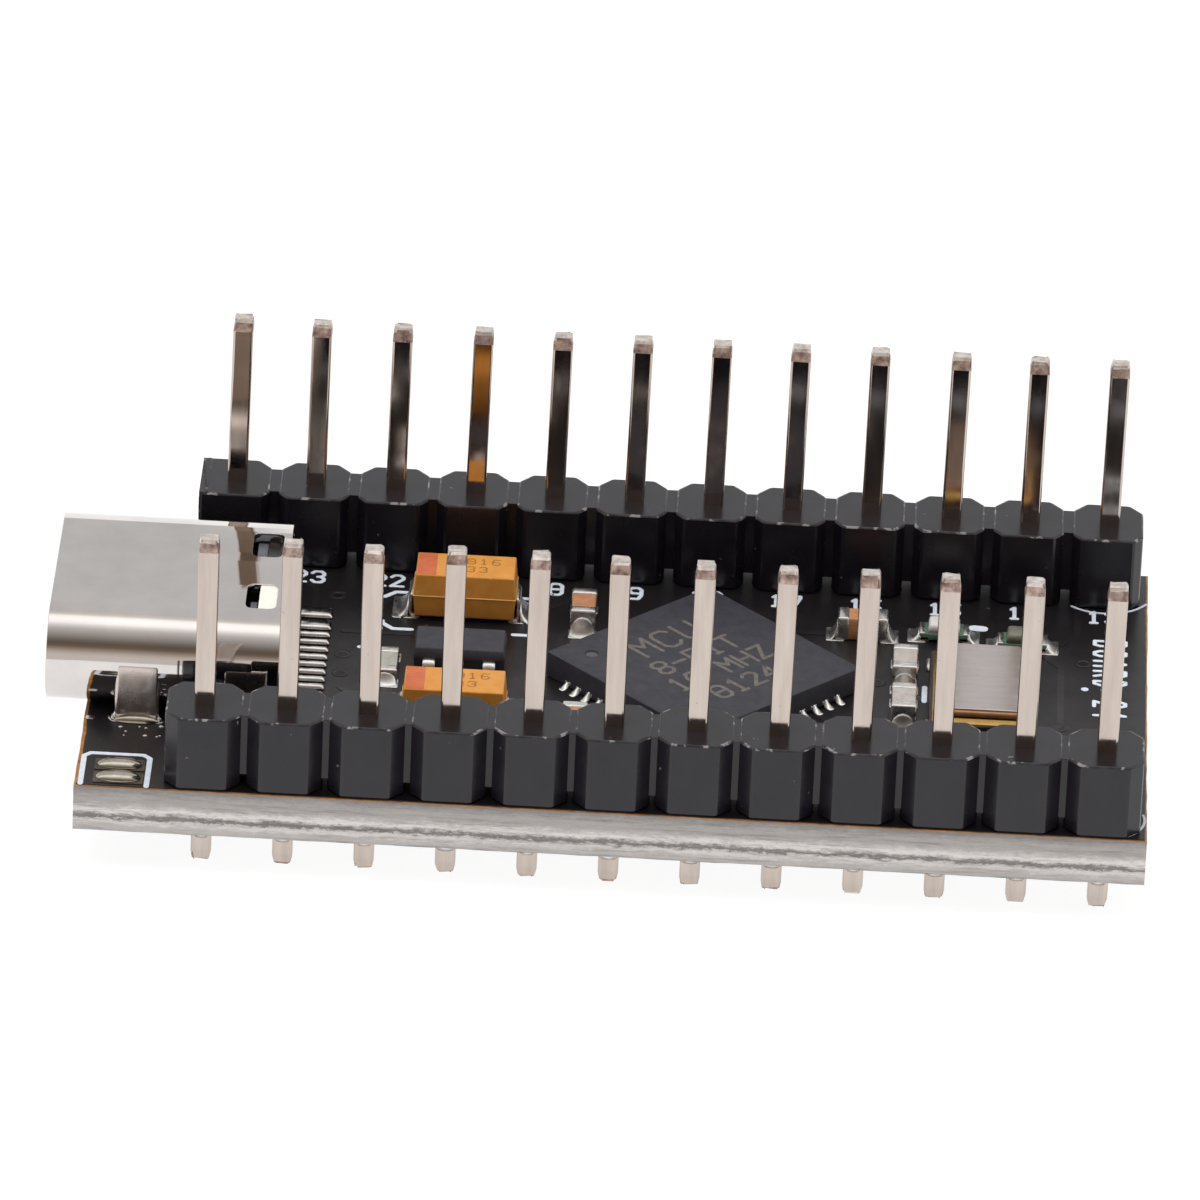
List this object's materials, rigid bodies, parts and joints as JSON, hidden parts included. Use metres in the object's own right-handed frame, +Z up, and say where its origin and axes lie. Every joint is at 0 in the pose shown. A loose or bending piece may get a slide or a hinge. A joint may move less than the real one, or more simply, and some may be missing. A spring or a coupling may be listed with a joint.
{
  "type": "microcontroller board",
  "caption": "Small black microcontroller board with two upright pin header rows along its long edges and a reversible charging and data receptacle at one end.",
  "frame": {"origin": "middle of the bounding box in plan, at the tips of the header tails", "axes": "+X from the receptacle's mouth towards the far end of the board, +Y across the board towards the rear header row, +Z up through the components and the long header pins"},
  "size_m": [0.0346, 0.0178, 0.0113],
  "materials": {
    "solder_mask": "satin",
    "header_plastic": "satin",
    "pin_metal": "polished",
    "solder": "satin",
    "shell_steel": "satin",
    "plate_steel": "satin",
    "contact_gold": "polished",
    "insert_plastic": "gloss",
    "chip_moulding": "matte",
    "terminal_tin": "satin",
    "silicon": "gloss",
    "dark_ceramic": "matte",
    "ring_gold": "polished",
    "lid_metal": "satin",
    "quartz": "polished",
    "tantalum_yellow": "satin",
    "capacitor_brown": "satin",
    "capacitor_grey": "satin",
    "resistor_black": "gloss",
    "fuse_grey": "satin",
    "led_plate": "satin",
    "led_lens": "gloss"
  },
  "bodies": {
    "root": {"cc_resistor_left_body": "resistor_black", "cc_resistor_left_terminals": "terminal_tin", "cc_resistor_right_body": "resistor_black", "cc_resistor_right_terminals": "terminal_tin", "chip_solder": "solder", "circuit_board": "solder_mask", "core_capacitor_body": "capacitor_brown", "core_capacitor_terminals": "terminal_tin", "crystal_base": "dark_ceramic", "crystal_blank": "quartz", "crystal_lid": "lid_metal", "crystal_ring": "ring_gold", "decoupling_capacitor_body": "capacitor_brown", "decoupling_capacitor_terminals": "terminal_tin", "fuse_body": "fuse_grey", "fuse_terminals": "terminal_tin", "header_housing_front": "header_plastic", "header_housing_rear": "header_plastic", "header_pins_front": "pin_metal", "header_pins_rear": "pin_metal", "header_solder_front": "solder", "header_solder_rear": "solder", "input_tantalum_body": "tantalum_yellow", "input_tantalum_terminals": "terminal_tin", "jumper_solder": "solder", "led_resistor_body": "resistor_black", "led_resistor_terminals": "terminal_tin", "load_capacitor_front_body": "capacitor_grey", "load_capacitor_front_terminals": "terminal_tin", "load_capacitor_rear_body": "capacitor_grey", "load_capacitor_rear_terminals": "terminal_tin", "mcu_die": "silicon", "mcu_package": "chip_moulding", "mcu_solder": "solder", "mcu_terminals": "terminal_tin", "mcu_thermal_pad": "terminal_tin", "output_tantalum_body": "tantalum_yellow", "output_tantalum_terminals": "terminal_tin", "power_led_lens": "led_lens", "power_led_substrate": "led_plate", "power_led_terminals": "terminal_tin", "regulator_body": "chip_moulding", "regulator_leads": "terminal_tin", "reset_resistor_body": "resistor_black", "reset_resistor_terminals": "terminal_tin", "series_resistor_left_body": "resistor_black", "series_resistor_left_terminals": "terminal_tin", "series_resistor_right_body": "resistor_black", "series_resistor_right_terminals": "terminal_tin", "signal_led_lens": "led_lens", "signal_led_substrate": "led_plate", "signal_led_terminals": "terminal_tin", "supply_capacitor_body": "capacitor_brown", "supply_capacitor_terminals": "terminal_tin", "usb_contacts": "contact_gold", "usb_insert": "insert_plastic", "usb_leg_solder": "solder", "usb_mid_plate": "plate_steel", "usb_shell": "shell_steel"}
  },
  "joints": []
}
